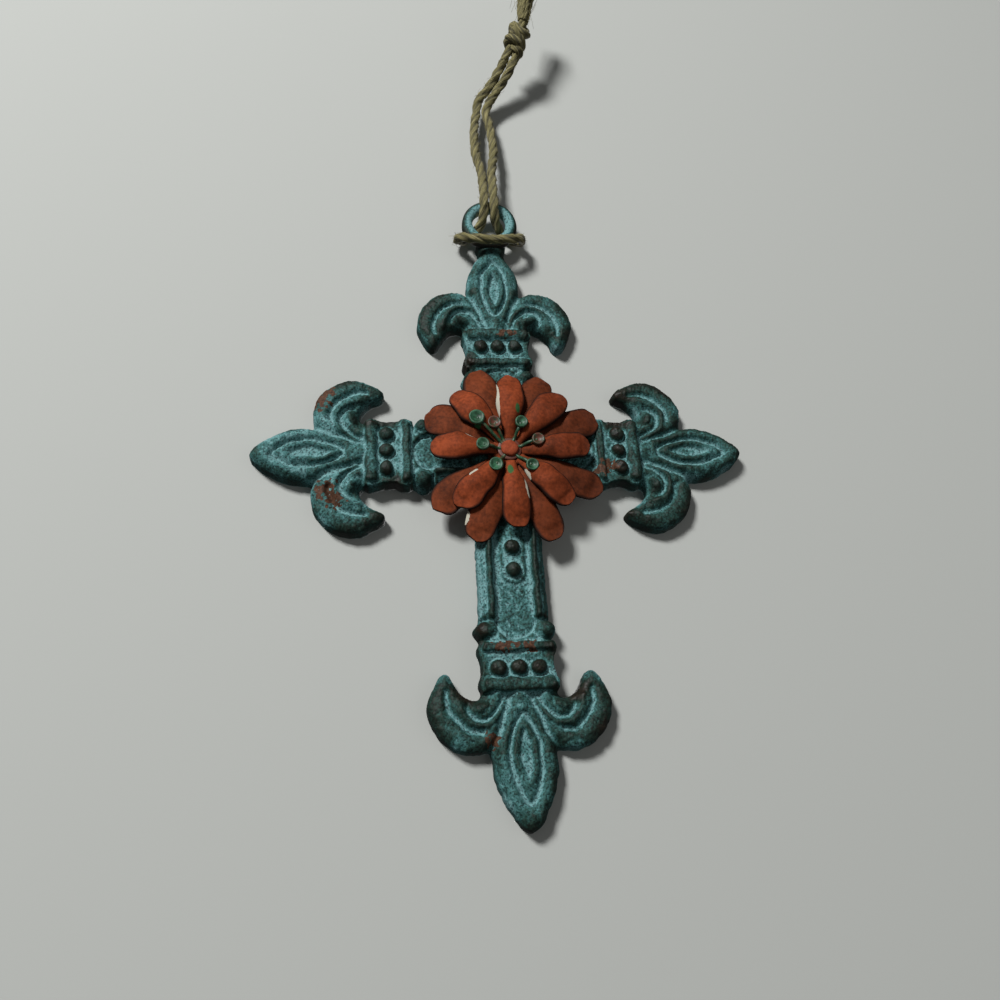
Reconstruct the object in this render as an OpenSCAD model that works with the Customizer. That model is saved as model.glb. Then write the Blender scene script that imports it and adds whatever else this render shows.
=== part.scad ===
// Cast iron wall cross with four fleur-de-lis ends, a two-layer sheet-metal flower
// riveted over its crossing, and a length of jute twine hitched through its ring.
// The cross hangs upright in the XZ plane. Its front faces -Y, its back is flat and faces +Y.
// The origin is the place in the twine's loop that a nail or hook holds.

/* [Cross] */
// Distance from the crossing to the middle bead of each side arm
side_row = 38.5; // [37:0.5:42]
// Distance from the crossing to the middle bead of the top arm
top_row = 40; // [39:0.5:43]
// Distance from the crossing to the middle bead of the bottom arm
foot_row = 71.5; // [64:0.5:80]
// Width of the arms' bars
bar_w = 21.4; // [20:0.2:22.4]
// Thickness of a bar at its side ridges
ridge_h = 7.6; // [7:0.1:8]
// Thickness of a bar at its sunken panel
panel_h = 6.2; // [5.6:0.1:6.6]
// Thickness of the casting at its outer edge
edge_h = 3.2; // [2.6:0.1:3.8]
// Diameter of a bead
bead_d = 4.5; // [3.6:0.1:5]

/* [Leaf ends] */
// Half width of a middle leaf at its widest
leaf_half_w = 9.8; // [9:0.1:10.6]
// Reach of a side or top leaf past its bead row
leaf_reach = 44; // [42:0.5:45]
// Reach of the bottom leaf past its bead row
foot_reach = 46.5; // [43:0.5:49]
// Radius of a curl's outer edge
curl_r = 12.6; // [12.2:0.1:13]
// Thickness of a curl's outer roll
roll_d = 7; // [6.4:0.1:7.4]

/* [Ring] */
// Height of the ring's centre above the crossing
ring_up = 93.5; // [92.5:0.5:94.5]
// Radius of the ring's wire line
ring_r = 8.2; // [8:0.1:8.3]
// Thickness of the ring's wire
wire_d = 4.6; // [4:0.1:4.6]

/* [Flower] */
// Reach of the back petals
back_reach = 32; // [30:0.5:34]
// Reach of the front petals
front_reach = 27; // [25:0.5:29]
// Thickness of the petal sheet
sheet = 1.2; // [1:0.1:1.3]
// Diameter of the rivet's domed head
head_d = 5.8; // [5.2:0.1:5.8]

/* [Twine] */
// Diameter of the twine
twine_d = 3.5; // [3:0.1:3.5]
// Height of the origin above the ring's centre
hang_up = 57; // [57:1:57]
// Largest diameter of the knot
knot_d = 11.6; // [9:0.2:13]

/* [Hidden] */

// how far the casting's flat back lies behind the origin, so that the hitch clears the wall
back_y = 5;
// the crossing hangs this far below the origin
drop = hang_up + ring_up;
// the ring's wire line stands this far in front of the back
ring_h = 6;
// the flower sits a little off the crossing, as it was riveted
flower_at = [1, -1.5];
shank_d = 3;
hole_d = shank_d + 0.2;
boss_h = 8;
boss_r = 13;
back_base = boss_h;
front_base = back_base + sheet;
stamen_base = front_base + sheet;
stamen_t = 0.8;
hub_r = 6;
bead_gap = 6;
collar_off = 5;
knob_off = 12;
bead_h = 7.7;
// the middle leaf's crown: its height, and the middle of its taper
crown_h = 7;
crown_y = 23;
curl_mid = [16, 9.8];

function unit(v) = v / norm(v);
// n + 1 points on a circle round c from angle a0 to a1
function arc(c, r, a0, a1, n) = [for (i = [0:n])
    c + r * [cos(a0 + (a1 - a0) * i / n), sin(a0 + (a1 - a0) * i / n)]];
function flip(pts) = [for (i = [len(pts) - 1:-1:0]) [-pts[i][0], pts[i][1]]];
function at_height(pts, h) = [for (p = pts) [p[0], p[1], h]];

// A tube through pts with a radius for each point: each ring stands across the way
// from the point before to the point after, and its normal is carried from ring to ring.
function way(p, i) = unit(p[min(i + 1, len(p) - 1)] - p[max(i - 1, 0)]);
function across(u, t) = unit(u - (u * t) * t);
function normals(p, u, i = 0) = i >= len(p) ? [] :
    let (n = across(u, way(p, i))) concat([n], normals(p, n, i + 1));
module tube(pts, radii, sides, first = [1, 0, 0]) {
    n = normals(pts, first);
    last = len(pts) - 1;
    points = [for (i = [0:last]) let (b = cross(way(pts, i), n[i]))
        for (k = [0:sides - 1]) let (a = 360 * k / sides)
            pts[i] + radii[i] * (cos(a) * n[i] + sin(a) * b)];
    faces = concat(
        [[for (k = [0:sides - 1]) k]],
        [[for (k = [sides - 1:-1:0]) last * sides + k]],
        [for (i = [0:last - 1]) for (k = [0:sides - 1])
            let (a = i * sides, b = a + sides, m = (k + 1) % sides)
                each [[a + k, b + k, b + m], [a + k, b + m, a + m]]]);
    polyhedron(points, faces);
}

// From drawing flat, with its back on z = 0, to hanging below the origin.
module hung() {
    translate([0, back_y, -drop]) rotate([90, 0, 0]) children();
}

// A rounded bar laid across an arm, lower at its two ends.
module collar(y, half_w, d, h) {
    hull() {
        for (s = [-1, 1]) translate([s * (half_w - d / 2), y, edge_h]) sphere(d = d, $fn = 6);
        for (s = [-1, 1]) translate([s * (half_w - 4.4), y, h - d / 2]) sphere(d = d, $fn = 6);
    }
}

// The outline of a leaf end, y along the arm from the bead row: the notch beside the
// collar, the curl's turned-back tip, its round back, and the pointed middle leaf.
module leaf_outline(reach) {
    widest = 26.5;
    rise = reach - widest;
    k = (rise * rise - leaf_half_w * leaf_half_w) / (2 * leaf_half_w);
    point_a = atan2(rise, k);
    right = concat(
        [[0, 0], [11, 3]],
        arc([12.4, 2.5], 4.5, 130, 35, 4),
        arc([22.8, 1], 2.7, 215, 325, 3),
        arc(curl_mid, curl_r, -42, 118, 9),
        arc([-k, widest], k + leaf_half_w, 0, point_a, 5));
    polygon(concat(right, flip(right)));
}

// A pointed almond of half width w between y0 and y1.
module almond(y0, y1, w) {
    half = (y1 - y0) / 2;
    k = (half * half - w * w) / (2 * w);
    a = atan2(half, k);
    side = arc([-k, y0 + half], k + w, -a, a, 4);
    polygon(concat(side, flip(side)));
}

// A curl's raised outer roll and the thin inner roll beside its eye.
module curl_rolls() {
    outer = arc(curl_mid, curl_r - roll_d / 2, -48, 126, 6);
    tube(at_height(outer, edge_h + 0.6), [for (i = [0:6]) roll_d / 2 * sin(38 + 17 * i)], 7);
    inner = arc([12.4, 11], 4.6, -10, 150, 3);
    tube(at_height(inner, edge_h + 0.8), [for (i = [0:3]) 2.2], 5);
}

// The end of an arm, from its knobs past the bead row to the leaf's tip.
module arm_end(reach) {
    linear_extrude(edge_h) leaf_outline(reach);
    // the crowned middle leaf, with the sunken almond and the raised one inside it
    difference() {
        translate([0, crown_y, 0]) linear_extrude(crown_h, scale = 0.7)
            translate([0, -crown_y]) almond(2, reach - 0.6, leaf_half_w - 0.3);
        translate([0, 0, crown_h - 1.2]) linear_extrude(3) difference() {
            almond(13, reach - 7, 4.8);
            almond(16, reach - 11, 2.4);
        }
    }
    for (s = [0, 1]) mirror([s, 0, 0]) curl_rolls();
    // the plain ground under the knobs, and the raised ground of the bead row
    linear_extrude(panel_h - 0.3) translate([-11, -knob_off - 5]) square([22, 20]);
    linear_extrude(edge_h) square([22.8, 2 * knob_off - 8], center = true);
    linear_extrude(panel_h + 0.6) square([19.2, 2 * knob_off - 8], center = true);
    for (x = [-bead_gap, 0, bead_gap])
        translate([x, 0, bead_h]) sphere(d = bead_d, $fn = 8);
    collar(collar_off, 11.8, 3.6, 8.4);
    collar(-collar_off, 11.9, 3.4, 8.2);
    // the shoulders between the knobs, hollowed where the sunken panel ends
    linear_extrude(ridge_h - 0.4) difference() {
        translate([-9.8, -knob_off - 2]) square([19.6, 6]);
        translate([0, -knob_off - 2.6]) circle(6.4, $fn = 12);
    }
    for (s = [-1, 1]) hull() {
        translate([s * 10, -knob_off, edge_h]) sphere(d = 5.8, $fn = 7);
        translate([s * 8, -knob_off + 0.6, ridge_h - 2]) sphere(d = 5, $fn = 7);
    }
}

// A bar with two side ridges and the sunken panel between them, from the crossing outwards.
module bar(length) {
    half = bar_w / 2;
    right = [[half, 0], [half, edge_h], [half - 1.4, ridge_h - 1.4], [half - 2.4, ridge_h],
        [half - 3.6, ridge_h], [half - 4.6, panel_h]];
    translate([0, length, 0]) rotate([90, 0, 0])
        linear_extrude(length) polygon(concat(right, flip(right)));
}

// The casting: four bars, four leaf ends, a boss under the flower, and the ring on its neck.
module cross_casting() {
    rows = [[0, top_row, leaf_reach], [90, side_row, leaf_reach],
        [180, foot_row, foot_reach], [270, side_row, leaf_reach]];
    color("#3f7470") hung() difference() {
        union() {
            for (r = rows) rotate(r[0]) {
                bar(r[1] - knob_off + 1);
                translate([0, r[1], 0]) arm_end(r[2]);
            }
            cylinder(h = boss_h, r = boss_r, $fn = 24);
            // the two loose beads on the bottom bar
            for (y = [33.5, 41])
                translate([0, -y, bead_h]) sphere(d = bead_d, $fn = 8);
            translate([0, ring_up, ring_h]) rotate_extrude($fn = 16)
                translate([ring_r, 0]) circle(d = wire_d, $fn = 8);
            hull() {
                translate([0, top_row + leaf_reach - 7, 0]) cylinder(h = 5.4, d = 11, $fn = 12);
                translate([0, ring_up - ring_r - 1, ring_h - 1]) sphere(d = wire_d + 1, $fn = 10);
            }
        }
        translate([flower_at[0], flower_at[1], -1]) cylinder(h = 20, d = hole_d, $fn = 24);
        // what would stand behind the flat back
        translate([-150, -150, -20]) cube([300, 300, 20]);
    }
}

// One petal along +y: a strip of sheet through discs given as [distance, width, height].
module petal(discs) {
    for (i = [0:len(discs) - 2]) hull() for (d = [discs[i], discs[i + 1]])
        translate([0, d[0], d[2]]) cylinder(h = sheet, d = d[1], $fn = 8);
}

module petal_layer(base, first_angle, discs) {
    translate([flower_at[0], flower_at[1], 0]) difference() {
        union() {
            translate([0, 0, base]) cylinder(h = sheet, r = hub_r, $fn = 32);
            for (k = [0:7]) rotate(-first_angle - 45 * k) petal(discs);
        }
        translate([0, 0, base - 1]) cylinder(h = 10, d = hole_d, $fn = 24);
    }
}

// The lower stamping: eight broad petals with blunt ends, nearly flat.
module back_petals() {
    color("#7a3a20") hung() petal_layer(back_base, 22.5, [
        [5, 5, back_base],
        [12, 8, back_base],
        [back_reach - 11, 11.5, back_base + 0.4],
        [back_reach - 4, 8, back_base + 1.1]]);
}

// The upper stamping: eight narrower petals that rise off the lower ones.
module front_petals() {
    color("#8a3a22") hung() petal_layer(front_base, 0, [
        [6.4, 4, front_base],
        [10, 6.6, front_base + 0.6],
        [front_reach - 9.6, 9.4, front_base + 2.2],
        [front_reach - 3.6, 7.2, front_base + 2.4]]);
}

// Seven stalks on a washer, each ending in a small dished cup.
module stamens() {
    // clockwise angle from the top, reach and cup diameter of each
    stalks = [[-48, 14, 5.6], [-30, 9.4, 4.6], [26, 9, 4.4], [77, 9.2, 4.4],
        [137, 9.4, 4.4], [217, 8.2, 4.6], [272, 8.8, 4.6]];
    cup_h = 2.6;
    color("#2e6b42") hung() translate([flower_at[0], flower_at[1], stamen_base])
        difference() {
            union() {
                cylinder(h = stamen_t, d = 8, $fn = 32);
                for (s = stalks) rotate(-s[0]) {
                    hull() {
                        translate([0, 3.7, 0]) cylinder(h = stamen_t, d = 1.5, $fn = 12);
                        translate([0, s[1], cup_h]) cylinder(h = stamen_t, d = 1.5, $fn = 12);
                    }
                    translate([0, s[1], cup_h]) cylinder(h = 1.8, d = s[2], $fn = 20);
                }
            }
            for (s = stalks) rotate(-s[0])
                translate([0, s[1], cup_h + 2.7]) sphere(d = s[2] - 0.8, $fn = 16);
            translate([0, 0, -1]) cylinder(h = 5, d = hole_d, $fn = 24);
        }
}

// The rivet that holds the flower: a domed head in front and a shank down through the casting.
module centre_rivet() {
    head_base = stamen_base + stamen_t;
    head_h = 2;
    dome_r = (head_d * head_d / 4 + head_h * head_h) / (2 * head_h);
    color("#a03a28") hung() translate([flower_at[0], flower_at[1], 0]) {
        translate([0, 0, 0.4]) cylinder(h = head_base, d = shank_d, $fn = 40);
        translate([0, 0, head_base]) intersection() {
            cylinder(h = head_h, d = head_d, $fn = 40);
            translate([0, 0, head_h - dome_r]) sphere(r = dome_r, $fn = 40);
        }
    }
}

// The right half of the twine's way, from the knot down to the middle of the hitch:
// down in front of the ring's top, back through the ring, round behind its side wire,
// and forward over the neck. The left half runs the same way on the other side.
twine_half = [
    [1.8, 0, 0], [3, -0.3, -7],
    [3.6, -1, -15], [3.4, -2, -24], [2.1, -3.4, -33], [1.8, -4.6, -41],
    [1.8, -5.3, -48.6], [1.9, -4.1, -52.6], [2.8, -0.8, -55.8], [5.6, 3.1, -58.4],
    [8.8, 3.1, -60.4], [11.3, 1.6, -62.2], [11.8, -1.2, -63.4], [10.4, -3.9, -65],
    [7, -5.4, -66.6], [3, -6, -67.2]];
// above the hook the two strands lie together and lean to the right and forward to the knot
twine_free = [[13.2, -8.4, 19.5], [10.4, -5.6, 14.6], [6.6, -2.6, 9.4], [3.2, -0.8, 4.4]];
free_gap = [3.4, 0, -1.4];
twine_way = concat(twine_free, twine_half, [[0, -6, -67.4]],
    [for (i = [len(twine_half) - 1:-1:0])
        [-twine_half[i][0], twine_half[i][1], twine_half[i][2]]],
    [[-0.9, -0.8, 5.6]], [for (i = [2:-1:0]) twine_free[i] - free_gap]);

module twine() {
    color("#6e6647") tube(twine_way, [for (p = twine_way) twine_d / 2], 8);
}

// The overhand knot that ties the two ends, and the two frayed ends above it.
module twine_knot() {
    route = [[11.4, -8.4, 20.8], [13.4, -10.6, 24.2], [15.4, -13, 28.4], [17, -15, 32.4],
        [18, -16.4, 35.4], [19, -18.6, 42], [20.4, -21, 52]];
    radii = [4, 0.45 * knot_d, 0.5 * knot_d, 0.42 * knot_d, 3.2, 3.8, 5.4];
    color("#7a7150") tube(route, radii, 16);
}

cross_casting();
back_petals();
front_petals();
stamens();
centre_rivet();
twine();
twine_knot();
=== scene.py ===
import math

import bmesh
import bpy
import numpy as np
from mathutils import Matrix, Vector


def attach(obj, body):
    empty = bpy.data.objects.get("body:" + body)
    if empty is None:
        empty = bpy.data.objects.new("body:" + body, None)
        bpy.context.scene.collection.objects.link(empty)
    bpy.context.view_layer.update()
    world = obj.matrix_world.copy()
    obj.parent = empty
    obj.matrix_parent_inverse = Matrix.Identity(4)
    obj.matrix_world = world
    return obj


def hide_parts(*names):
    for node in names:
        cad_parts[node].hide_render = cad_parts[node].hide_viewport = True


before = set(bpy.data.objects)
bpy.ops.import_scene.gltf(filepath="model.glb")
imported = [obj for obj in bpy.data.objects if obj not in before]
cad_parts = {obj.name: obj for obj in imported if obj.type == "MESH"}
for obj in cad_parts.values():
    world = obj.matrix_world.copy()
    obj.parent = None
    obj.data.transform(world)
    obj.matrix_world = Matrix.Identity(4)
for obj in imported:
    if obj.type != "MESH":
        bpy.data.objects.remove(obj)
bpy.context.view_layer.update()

# CAMERA
# A hand-held camera a quarter of a metre from the wall, a little left of the cross and below its
# crossing, turned up towards the flower.
camera = bpy.data.objects.new("camera", bpy.data.cameras.new("camera"))
bpy.context.collection.objects.link(camera)
camera.data.sensor_width = 36
camera.data.lens = 30.6
camera.data.clip_start = 0.01
camera.matrix_world = (
    Matrix.Translation((-0.0377, -0.2518, -0.2726))
    @ Matrix.Rotation(math.radians(90 + 22.68), 4, "X")
    @ Matrix.Rotation(math.radians(-7.39), 4, "Y")
    @ Matrix.Rotation(math.radians(-0.58), 4, "Z")
)
bpy.context.scene.camera = camera
bpy.context.scene.view_settings.view_transform = "Standard"

# TWINE
# A length of natural jute twine, three plies laid right-handed, about 3.5 mm thick and hairy.
# It is hitched round the ring's neck and its two legs go up to the knot. Dry, dull and brown.
TWINE_D = 0.0035
LAY = 0.017
# the right leg, from the hook at the origin down to the middle of the hitch, in millimetres
LEG = np.array([
    (1.8, 0, 0), (3, -0.3, -7), (3.6, -1, -15), (3.4, -2, -24), (2.1, -3.4, -33), (1.8, -4.6, -41),
    (1.8, -5.3, -48.6), (1.9, -4.1, -52.6), (2.8, -0.8, -55.8), (5.6, 3.1, -58.4), (8.8, 3.1, -60.4),
    (11.3, 1.6, -62.2), (11.8, -1.2, -63.4), (10.4, -3.9, -65), (7, -5.4, -66.6), (3, -6, -67.2),
]) / 1000
# above the hook both legs lean to the knot, side by side
FREE = np.array([(13.2, -8.4, 19.5), (10.4, -5.6, 14.6), (6.6, -2.6, 9.4), (3.2, -0.8, 4.4)]) / 1000
FREE_GAP = np.array([0.0034, 0, -0.0014])
MIRROR = np.array([-1, 1, 1])
TWINE_WAY = np.concatenate([
    FREE, LEG, [(0, -0.006, -0.0674)], LEG[::-1] * MIRROR,
    [(-0.0009, -0.0008, 0.0056)], FREE[2::-1] - FREE_GAP,
])


def smooth_way(points, step):
    """Catmull-Rom curve through the points, then sampled again at equal steps of its length."""
    p = np.concatenate([[2 * points[0] - points[1]], points, [2 * points[-1] - points[-2]]])
    t = np.linspace(0, 1, 24, endpoint=False)[None, :, None]
    a, b, c, d = (p[i : len(p) - 3 + i, None, :] for i in range(4))
    curve = 0.5 * (2 * b + (c - a) * t + (2 * a - 5 * b + 4 * c - d) * t**2
                   + (3 * b - a - 3 * c + d) * t**3)
    curve = np.concatenate([curve.reshape(-1, 3), points[-1:]])
    far = np.concatenate([[0], np.cumsum(np.linalg.norm(np.diff(curve, axis=0), axis=1))])
    n = max(4, int(round(far[-1] / step)) + 1)
    s = np.linspace(0, far[-1], n)
    return np.stack([np.interp(s, far, curve[:, k]) for k in range(3)], axis=1), s


def carried(way):
    """Tangent, normal and binormal at each point; the normal is carried along without twist."""
    tangent = np.gradient(way, axis=0)
    tangent /= np.linalg.norm(tangent, axis=1)[:, None]
    normal = np.empty_like(way)
    last = np.cross(tangent[0], (0.3, 1, 0.2))
    for i, t in enumerate(tangent):
        last = last - (last @ t) * t
        last = last / np.linalg.norm(last)
        normal[i] = last
    return tangent, normal, np.cross(tangent, normal)


def skin(rings):
    """Closed surface over rings[i, k], ring after ring, each end drawn to the middle of its ring."""
    n, around = rings.shape[:2]
    i, k = np.meshgrid(np.arange(n - 1), np.arange(around), indexing="ij")
    m = (k + 1) % around
    quads = np.stack([i * around + k, i * around + m, (i + 1) * around + m, (i + 1) * around + k], -1)
    k = np.arange(around)
    m, first, last, top = (k + 1) % around, n * around, n * around + 1, (n - 1) * around
    caps = np.concatenate([np.stack([0 * k + first, m, k, k], -1),
                           np.stack([0 * k + last, top + k, top + m, top + m], -1)])
    verts = np.concatenate([rings.reshape(-1, 3), rings[[0, -1]].mean(axis=1)])
    return verts, np.concatenate([quads.reshape(-1, 4), caps])


def tube(way, radius, around):
    """A closed tube: ring i stands across the way and has the radii radius[i, k] at equal angles."""
    _, normal, binormal = carried(way)
    a = np.linspace(0, 2 * np.pi, around, endpoint=False)[None, :, None]
    side = np.cos(a) * normal[:, None, :] + np.sin(a) * binormal[:, None, :]
    return skin(way[:, None, :] + radius[:, :, None] * side)


def joined(parts):
    """Several (vertices, faces) as one, faces renumbered."""
    shift = np.cumsum([0] + [len(v) for v, _ in parts[:-1]])
    return (np.concatenate([v for v, _ in parts]),
            np.concatenate([f + n for (_, f), n in zip(parts, shift)]))


def piece(name, verts, faces, cad_node, slot, material, **values):
    """A smooth-shaded mesh object from arrays with named point values, in place of a CAD node."""
    mesh = bpy.data.meshes.new(name)
    faces = [tuple(f[:3]) if f[2] == f[3] else tuple(f) for f in faces.tolist()]
    mesh.from_pydata(verts.tolist(), [], faces)
    for key, value in values.items():
        kind = "FLOAT_VECTOR" if np.ndim(value) == 2 else "FLOAT"
        field = "vector" if np.ndim(value) == 2 else "value"
        mesh.attributes.new(key, kind, "POINT").data.foreach_set(field, np.ravel(value).astype(np.float32))
    mesh.polygons.foreach_set("use_smooth", np.ones(len(faces), bool))
    mesh.materials.append(material)
    made = bpy.data.objects.new(name, mesh)
    bpy.context.collection.objects.link(made)
    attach(made, "root")
    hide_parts(cad_node)
    return made


def linear(code):
    """sRGB hex to linear colour with alpha."""
    c = np.array([int(code[i : i + 2], 16) for i in (1, 3, 5)]) / 255
    return (*np.where(c <= 0.04045, c / 12.92, ((c + 0.055) / 1.055) ** 2.4), 1.0)


def finish(name):
    """A new node material, its tree and its shader."""
    made = bpy.data.materials.new(name)
    made.use_nodes = True
    return made, made.node_tree, made.node_tree.nodes["Principled BSDF"]


def node(tree, kind, settings={}, **inputs):
    """Adds a node; inputs are set by name or, as i0, i1, by place, and a socket given is linked."""
    made = tree.nodes.new(kind)
    for key, value in settings.items():
        setattr(made, key, value)
    for key, value in inputs.items():
        socket = made.inputs[int(key[1:])] if key[1:].isdigit() else made.inputs[key.replace("_", " ")]
        if isinstance(value, bpy.types.NodeSocket):
            tree.links.new(value, socket)
        else:
            socket.default_value = value
    return made


def ramp(tree, value, *stops):
    """Colour Ramp through (position, sRGB hex or grey number) stops."""
    made = node(tree, "ShaderNodeValToRGB", i0=value)
    while len(made.color_ramp.elements) < len(stops):
        made.color_ramp.elements.new(0.5)
    for element, (place, colour) in zip(made.color_ramp.elements, stops):
        element.position = place
        element.color = linear(colour) if isinstance(colour, str) else (colour, colour, colour, 1)
    return made.outputs[0]


def blended(tree, share, under, over, how="MIX"):
    """Mixes two colours, sockets or hex."""
    made = node(tree, "ShaderNodeMix", {"data_type": "RGBA", "blend_type": how})
    for at, value in ((0, share), (6, under), (7, over)):
        if isinstance(value, bpy.types.NodeSocket):
            tree.links.new(value, made.inputs[at])
        else:
            made.inputs[at].default_value = linear(value) if isinstance(value, str) else value
    return made.outputs[2]


# jute: dull bast fibre; fine strands run along each ply, and painted shade darkens the valleys between the
# plies
jute, tree, shader = finish("jute_twine")
along = node(tree, "ShaderNodeAttribute", {"attribute_name": "fibre"}).outputs["Vector"]
strands = node(tree, "ShaderNodeTexNoise", Vector=along, Scale=1.0, Detail=4.0, Roughness=0.6).outputs[0]
tone = ramp(tree, strands, (0.32, "#262310"), (0.46, "#565027"), (0.56, "#827a4c"), (0.68, "#b0a67c"))
# painted shade: the ply value darkens the colour in the valleys between the plies
ply = node(tree, "ShaderNodeAttribute", {"attribute_name": "ply"}).outputs["Fac"]
shade = ramp(tree, ply, (0.0, 0.3), (0.4, 0.85), (1.0, 1.0))
tree.links.new(blended(tree, 1.0, tone, shade, "MULTIPLY"), shader.inputs["Base Color"])
shader.inputs["Roughness"].default_value = 0.85
shader.inputs["Sheen Weight"].default_value = 0.08
shader.inputs["Sheen Roughness"].default_value = 0.6
lift = node(tree, "ShaderNodeBump", Strength=0.6, Distance=0.0003, Height=strands)
tree.links.new(lift.outputs[0], shader.inputs["Normal"])


def waves(x, y, size, seed, count=28):
    """Smooth random field of about unit height: a sum of sine waves about size long, all ways."""
    rng = np.random.default_rng(seed)
    total = 0
    for a, k, phase in zip(rng.uniform(0, 2 * np.pi, count), rng.uniform(0.6, 1.5, count),
                           rng.uniform(0, 2 * np.pi, count)):
        total = total + np.cos((np.cos(a) * x + np.sin(a) * y) * 2 * np.pi * k / size + phase)
    return total / math.sqrt(count / 2)


def laid(way, length, diameter, around=30, lay=LAY, turn=0.0):
    """Three-ply cord: the section is three circles side by side, turned once in each lay.
    Its own values: fibre is a point that runs along each ply, and ply is 0 in the valleys, 1 on top."""
    a = np.linspace(0, 2 * np.pi, around, endpoint=False)[None, :]
    twist = 2 * np.pi * length[:, None] / lay + turn
    off = (a - twist + np.pi / 3) % (2 * np.pi / 3) - np.pi / 3
    ply_r, ply_at = 0.33 * diameter, 0.165 * diameter
    radius = ply_at * np.cos(off) + np.sqrt(ply_r**2 - (ply_at * np.sin(off)) ** 2)
    uneven = 0.05 * waves(length[:, None] * 1000, off * 3, 5, 71)
    radius = radius * (1 + uneven + 0.035 * waves(a * 9, length[:, None] * 300, 6, 72))
    which = np.floor((a - twist + np.pi / 3) / (2 * np.pi / 3)) % 3
    fibre = np.stack([off * 9 + which * 7 + length[:, None] * 400, which * 3 + 0 * off,
                      length[:, None] * 130 + 0 * off], -1).reshape(-1, 3)
    top = (1 - np.abs(off) / (np.pi / 3)).reshape(-1)
    verts, faces = tube(way, radius, around)
    fibre = np.concatenate([fibre, fibre[[0, -1]]])
    return verts, faces, fibre, np.concatenate([top, [1, 1]])


HAIR_R = 0.00005
HAIR_FIBRE = (3.0, 1.0, 2.0)


def fuzz(way, count, seed, reach, size):
    """Loose fibres: short bent hairs that start in the cord and stand off it by up to reach."""
    rng = np.random.default_rng(seed)
    tangent, normal, binormal = carried(way)
    parts = []
    for at in rng.integers(2, len(way) - 2, count):
        a, lean = rng.uniform(0, 2 * np.pi), rng.uniform(-1, 1)
        out = np.cos(a) * normal[at] + np.sin(a) * binormal[at]
        s = np.linspace(0, 1, 4)[:, None]
        bend = out * (0.0012 + reach * rng.uniform(0.4, 1) * np.sin(s * 2)) + (
            tangent[at] * lean * 1.6 + rng.uniform(-0.35, 0.35, 3)) * size * rng.uniform(0.5, 1.5) * s**1.3
        parts.append(tube(way[at] + bend, np.full((4, 3), HAIR_R), 3))
    verts, faces = joined(parts)
    return verts, faces, np.tile(HAIR_FIBRE, (len(verts), 1)), np.ones(len(verts))


# the hairs behind are pressed flat, clear of the wall
WALL_CLEAR = 0.0049
twine_path, twine_far = smooth_way(TWINE_WAY, 0.0005)
parts = [laid(twine_path, twine_far, TWINE_D), fuzz(twine_path, 620, 3, 0.001, 0.0017)]
verts, faces = joined([p[:2] for p in parts])
fibre, ply_top = (np.concatenate([p[k] for p in parts]) for k in (2, 3))
verts[:, 1] = np.minimum(verts[:, 1], WALL_CLEAR)
twine = piece("jute_legs", verts, faces, "twine", "twine", jute, fibre=fibre, ply=ply_top)

# KNOT AND FRAYED ENDS
# Both legs are tied together in one overhand knot, drawn tight, and their ends are left to fray
# above it into loose plies and single fibres.
KNOT_FOOT, KNOT_TOP = np.array([(11.4, -8.4, 20.8), (18, -16.4, 35.4)]) / 1000
ENDS_TOP = np.array((20.4, -21, 52)) / 1000
axis = (KNOT_TOP - KNOT_FOOT) / np.linalg.norm(KNOT_TOP - KNOT_FOOT)
right = np.cross(axis, (0, 1, 0)) / np.linalg.norm(np.cross(axis, (0, 1, 0)))
front = np.cross(axis, right)
knot_middle = (KNOT_FOOT + KNOT_TOP) / 2


def wrap(start, turns, low, high, out=0.0031, slant=0.0012, lean=0.6):
    """A turn or more of one leg round the other two: a helix that slants, its ends tucked in."""
    t = np.linspace(0, 1, 24)
    a = start + 2 * np.pi * turns * t
    tuck = np.minimum(1, np.minimum(t, 1 - t) / 0.09)
    r = out * (0.35 + 0.65 * tuck**0.7)
    up = low + (high - low) * t + slant * np.cos(a - lean)
    across = np.cos(a)[:, None] * right + np.sin(a)[:, None] * front
    return knot_middle + r[:, None] * across + up[:, None] * axis


# three turns, and the two legs' own ends running up through them
cords = [wrap(2.0, 1.15, -0.0046, -0.0024), wrap(0.3, 1.2, -0.0012, 0.001, slant=0.0022),
         wrap(4.4, 1.1, 0.002, 0.0044, slant=0.0019, lean=-0.8)]
upward = (FREE[0] - FREE[1]) / np.linalg.norm(FREE[0] - FREE[1])
cords += [np.array([end - upward * 0.0012, end + upward * 0.0016, knot_middle + (end - KNOT_FOOT) * 0.5,
                    KNOT_TOP - axis * 0.002]) for end in (FREE[0], FREE[0] - FREE_GAP)]
parts = []
for n, points in enumerate(cords):
    way, far = smooth_way(points, 0.0004)
    parts.append(laid(way, far + 0.3 * n, 0.0034, 24, turn=n))
# the frayed ends: nine loose plies that spread as they rise, every third one hairy, cut off level
FRAYED = 9
CUT_OFF = 0.0534
rng = np.random.default_rng(8)
for n in range(FRAYED):
    a = 2 * np.pi * n / FRAYED + rng.uniform(-0.3, 0.3)
    low_r, high_r = 0.0014, rng.uniform(0.002, 0.0042)
    t = np.linspace(0, 1, 5)[:, None]
    spread = np.cos(a) * right + np.sin(a) * front
    line = KNOT_TOP - axis * 0.002 + (ENDS_TOP - KNOT_TOP + axis * 0.002) * t * rng.uniform(0.86, 1)
    line = line + spread * (low_r + (high_r - low_r) * t**0.8) + rng.normal(0, 0.00035, (5, 3)) * t
    way, far = smooth_way(line, 0.0005)
    v, f, fibre, top = laid(way, far + n, 0.0019, 14, lay=0.009, turn=n)
    # the frayed plies get a lighter painted shade in their valleys
    parts.append((v, f, fibre, 0.35 + 0.65 * top))
    if n % 3 == 0:
        parts.append(fuzz(way, 40, 20 + n, 0.0012, 0.006))
verts, faces = joined([p[:2] for p in parts])
verts[:, 2] = np.minimum(verts[:, 2], CUT_OFF)
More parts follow.
